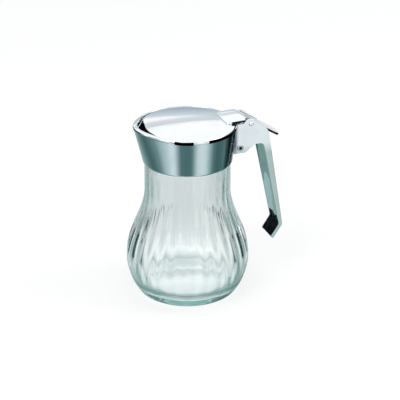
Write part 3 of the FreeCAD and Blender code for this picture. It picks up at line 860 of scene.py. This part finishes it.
# what the metal and the glass see around them: angles are degrees of turn from the camera, heights are the
# Z of a direction, and tones are display values
surroundings = dict(
    panelGlow=1.6, panels=[(-74, 4), (-47, 4), (31, 7), (53, 4)],  # middle and half width of the lit panels
    panelEdge=2, plain=(232, 233, 235), gripPatch=(168, 198, 197), upperGlow=1.12,
    gripTurn=0.17, gripHalf=0.4,  # radians
    gripZ=(-0.56, -0.53), bandZ=(-0.46, -0.435),
    lowZ=(-0.26, -0.21), highZ=(0.20, 0.225), sideLimit=0.3, stripSlope=0.1, softSlope=0.5,
    floorTones=[
        (-180, (190, 204, 206)), (-151, (150, 172, 171)), (-132, (112, 140, 141)), (-112, (82, 112, 114)),
        (-98, (68, 100, 101)), (-85, (86, 118, 118)), (-72, (108, 138, 140)), (-62, (158, 182, 184)),
        (-50, (186, 205, 209)), (-42, (207, 223, 228)), (-34, (206, 221, 227)), (-26, (150, 170, 177)),
        (-18, (84, 112, 115)), (-6, (72, 106, 108)), (6, (72, 104, 107)), (13, (88, 118, 120)),
        (20, (150, 174, 177)), (28, (196, 212, 216)), (40, (206, 221, 224)), (50, (194, 214, 216)),
        (60, (148, 174, 176)), (70, (88, 118, 120)), (82, (64, 96, 98)), (98, (72, 104, 104)),
        (106, (88, 120, 118)), (113, (50, 74, 76)), (122, (30, 46, 47)), (142, (32, 48, 48)),
        (164, (130, 148, 148)), (180, (190, 204, 206)),
    ],
    bandTones=[
        (-180, (215, 222, 224)), (-160, (190, 200, 204)), (-140, (16, 26, 28)), (-98, (16, 26, 28)),
        (-90, (214, 232, 236)), (-38, (236, 246, 248)), (-32, (2, 6, 6)), (12, (2, 6, 6)),
        (17, (255, 255, 255)), (35, (238, 246, 248)), (45, (234, 242, 245)), (53, (252, 253, 255)),
        (58, (8, 12, 13)), (122, (8, 12, 13)), (136, (120, 134, 136)), (160, (215, 222, 224)),
        (180, (215, 222, 224)),
    ],
    wallTones=[
        (-180, (226, 230, 232)), (-158, (222, 227, 230)), (-150, (10, 14, 16)), (150, (10, 14, 16)),
        (158, (236, 238, 240)), (180, (240, 241, 243)),
    ],
    stripTones=[
        (0.22, (150, 168, 178)), (0.295, (196, 208, 216)), (0.309, (200, 212, 218)), (0.319, (255, 255, 255)),
        (0.5, (255, 255, 255)),
    ],
    softTones=[
        (0.30, (255, 255, 255)), (0.322, (255, 255, 255)), (0.332, (214, 219, 222)), (0.362, (206, 213, 216)),
        (0.367, (176, 186, 190)), (0.374, (246, 248, 250)), (0.40, (255, 255, 255)),
    ],
    glassSides=[
        (-180, (255, 255, 255)), (-172, (252, 253, 253)), (-163, (230, 236, 236)), (-150, (192, 205, 205)),
        (-132, (150, 172, 172)), (-100, (120, 146, 146)), (0, (170, 190, 190)), (100, (104, 130, 130)),
        (132, (130, 154, 154)), (150, (170, 188, 188)), (163, (216, 226, 226)), (172, (248, 250, 250)),
        (180, (255, 255, 255)),
    ],
    glassLevels=[
        (-1.0, (186, 200, 200)), (-0.72, (206, 216, 216)), (-0.56, (258, 260, 260)), (-0.49, (268, 268, 268)),
        (-0.44, (260, 260, 260)), (-0.425, (240, 241, 241)), (-0.40, (230, 232, 232)),
        (-0.375, (230, 232, 232)), (-0.34, (240, 241, 241)), (-0.28, (254, 254, 254)),
        (-0.1, (220, 228, 228)), (0.3, (228, 233, 233)), (1.0, (246, 248, 248)),
    ],
)
floorPaper = dict(
    dim=rgb(244, 245, 246), pale=rgb(250, 250, 250), scale=400.0, detail=3.0, roughness=0.9, specular=0.1,
)


def makeFloor():
    bm = bmesh.new()
    bmesh.ops.create_grid(bm, x_segments=2, y_segments=2, size=studio["floorSize"])
    mesh = bpy.data.meshes.new("studioFloor")
    bm.to_mesh(mesh)
    bm.free()
    floor = bpy.data.objects.new("studioFloor", mesh)
    bpy.context.scene.collection.objects.link(floor)
    material, tree, shader = newMaterial("paleFloor")
    paper = addNoise(tree, objectPlace(tree), floorPaper["scale"], floorPaper["detail"])
    tone = addMix(tree, paper, floorPaper["dim"], floorPaper["pale"])
    tree.links.new(tone, shader.inputs["Base Color"])
    shader.inputs["Roughness"].default_value = floorPaper["roughness"]
    shader.inputs["Specular IOR Level"].default_value = floorPaper["specular"]
    # part of what the camera sees is plain white, and reflections and the glass see through the floor
    glow = addNode(tree, "ShaderNodeEmission", {"Color": (1, 1, 1, 1), "Strength": 1.0})
    path = addNode(tree, "ShaderNodeLightPath").outputs
    share = addMath(tree, "MULTIPLY", path["Is Camera Ray"], studio["floorGlow"])
    both = addNode(tree, "ShaderNodeMixShader", {0: share, 1: shader.outputs[0], 2: glow.outputs[0]})
    clear = addNode(tree, "ShaderNodeBsdfTransparent")
    inGlass = addMath(tree, "GREATER_THAN", path["Transmission Depth"], 0.5)
    unseen = addMath(tree, "MAXIMUM", path["Is Glossy Ray"], inGlass)
    final = addNode(tree, "ShaderNodeMixShader", {0: unseen, 1: both.outputs[0], 2: clear.outputs[0]})
    tree.links.new(final.outputs[0], tree.nodes["Material Output"].inputs["Surface"])
    mesh.materials.append(material)
    floor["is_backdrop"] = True


def addRamp(tree, value, stops):
    node = addNode(tree, "ShaderNodeValToRGB", {"Fac": value})
    ramp = node.color_ramp
    ramp.interpolation = "LINEAR"
    while len(ramp.elements) < len(stops):
        ramp.elements.new(0.5)
    for element, (position, colour) in zip(ramp.elements, stops):
        element.position = position
        element.color = colour
    return node.outputs[0]


def turnRamp(tree, turn, tones):
    return addRamp(tree, turn, [((degrees + 180) / 360, rgb(*tone)) for degrees, tone in tones])


def makeMetalLook(tree, parts, around, turn):
    s = surroundings
    # low: the tones of the floor, a lighter patch for the inside of the grip, and the tones of the rim band
    ahead = addMath(tree, "COMPARE", around, s["gripTurn"], s["gripHalf"])
    gripShare = addMath(tree, "MULTIPLY", ahead, addRange(tree, parts["Z"], *s["gripZ"]))
    look = addMix(tree, gripShare, turnRamp(tree, turn, s["floorTones"]), rgb(*s["gripPatch"]))
    look = addMix(tree, addRange(tree, parts["Z"], *s["bandZ"]), look, turnRamp(tree, turn, s["bandTones"]))
    # level: a dark horizon all round, with lit panels in front
    panelStops = [(0, (0, 0, 0, 1))]
    for centre, half in s["panels"]:
        reach = half + s["panelEdge"]
        for degrees, v in ((centre - reach, 0), (centre - half, 1), (centre + half, 1), (centre + reach, 0)):
            panelStops.append(((degrees + 180) / 360, (v, v, v, 1)))
    panels = addRamp(tree, turn, panelStops)
    lit = (s["panelGlow"],) * 3 + (1,)
    horizon = addMix(tree, panels, turnRamp(tree, turn, s["wallTones"]), lit)
    look = addMix(tree, addRange(tree, parts["Z"], *s["lowZ"]), look, horizon)
    # high: a grey-blue strip, a white strip and a pale grey one that slopes, then white
    side = addNode(tree, "ShaderNodeClamp", {
        "Value": parts["X"], "Min": -s["sideLimit"], "Max": s["sideLimit"]}).outputs[0]
    nearly = addMath(tree, "MULTIPLY_ADD", side, s["stripSlope"], parts["Z"])
    sloped = addMath(tree, "MULTIPLY_ADD", side, s["softSlope"], parts["Z"])
    strip = addRamp(tree, nearly, [(z, rgb(*tone)) for z, tone in s["stripTones"]])
    soft = addRamp(tree, sloped, [(z, rgb(*tone)) for z, tone in s["softTones"]])
    upper = addMix(tree, 1.0, strip, soft, "MULTIPLY")
    bright = addMix(tree, 1.0, upper, (s["upperGlow"],) * 3 + (1,), "MULTIPLY")
    return addMix(tree, addRange(tree, parts["Z"], *s["highZ"]), look, bright)


def makeGlassLook(tree, parts, turn):
    # pale straight behind, greyer to the sides, in soft level bands
    sides = turnRamp(tree, turn, surroundings["glassSides"])
    height = addRange(tree, parts["Z"], -1.0, 1.0)
    levels = addRamp(tree, height, [((z + 1) / 2, rgb(*tone)) for z, tone in surroundings["glassLevels"]])
    return addMix(tree, 1.0, sides, levels, "MULTIPLY")


def makeWorld():
    # white for the camera, and a studio of light and dark walls for the metal and the glass
    world = bpy.data.worlds.new("studio")
    bpy.context.scene.world = world
    world.use_nodes = True
    tree = world.node_tree
    direction = addNode(tree, "ShaderNodeTexCoord").outputs["Generated"]
    turned = addNode(tree, "ShaderNodeVectorRotate", {
        "Vector": direction, "Angle": math.radians(-studio["cameraTurn"])}, rotation_type="Z_AXIS")
    parts = splitPlace(tree, turned.outputs[0])
    front = addMath(tree, "MULTIPLY", parts["Y"], -1.0)
    around = addMath(tree, "ARCTAN2", parts["X"], front)
    turn = addRange(tree, around, -math.pi, math.pi)
    path = addNode(tree, "ShaderNodeLightPath").outputs
    inGlass = addMath(tree, "GREATER_THAN", path["Transmission Depth"], 0.5)
    metalLook = makeMetalLook(tree, parts, around, turn)
    look = addMix(tree, path["Is Glossy Ray"], rgb(*surroundings["plain"]), metalLook)
    look = addMix(tree, inGlass, look, makeGlassLook(tree, parts, turn))
    look = addMix(tree, path["Is Camera Ray"], look, (1, 1, 1, 1))
    tree.links.new(look, tree.nodes["Background"].inputs["Color"])
    tree.nodes["Background"].inputs["Strength"].default_value = 1.0


def makeLamp(name, place, size, power):
    lamp = bpy.data.lights.new(name, "AREA")
    lamp.shape = "RECTANGLE"
    lamp.size, lamp.size_y = size
    lamp.energy = power
    holder = bpy.data.objects.new(name, lamp)
    holder.location = place
    aim = Vector((0, 0, studio["lampAimZ"])) - Vector(place)
    holder.rotation_euler = aim.to_track_quat("-Z", "Y").to_euler()
    bpy.context.scene.collection.objects.link(holder)


def makeCamera():
    s = studio
    turn, rise = math.radians(s["cameraTurn"]), math.radians(s["cameraRise"])
    back = Vector((math.sin(turn) * math.cos(rise), -math.cos(turn) * math.cos(rise), math.sin(rise)))
    camera = bpy.data.objects.new("camera", bpy.data.cameras.new("camera"))
    camera.location = Vector((0, 0, s["aimZ"])) + back * s["distance"]
    camera.rotation_euler = back.to_track_quat("Z", "Y").to_euler()
    camera.data.lens = s["lens"]
    camera.data.sensor_width = s["sensorWidth"]
    camera.data.shift_x = s["shiftX"]
    camera.data.shift_y = s["shiftY"]
    camera.data.clip_start = s["clipStart"]
    bpy.context.scene.collection.objects.link(camera)
    bpy.context.scene.camera = camera


makeFloor()
makeWorld()
for lampValues in studio["lamps"]:
    makeLamp(*lampValues)
makeCamera()
bpy.context.scene.view_settings.view_transform = "Standard"
print("studio ready")

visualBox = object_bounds()
for label, box in (("cad box", cadBox), ("visual box", visualBox)):
    print(label, [[round(c, 4) for c in corner] for corner in box])
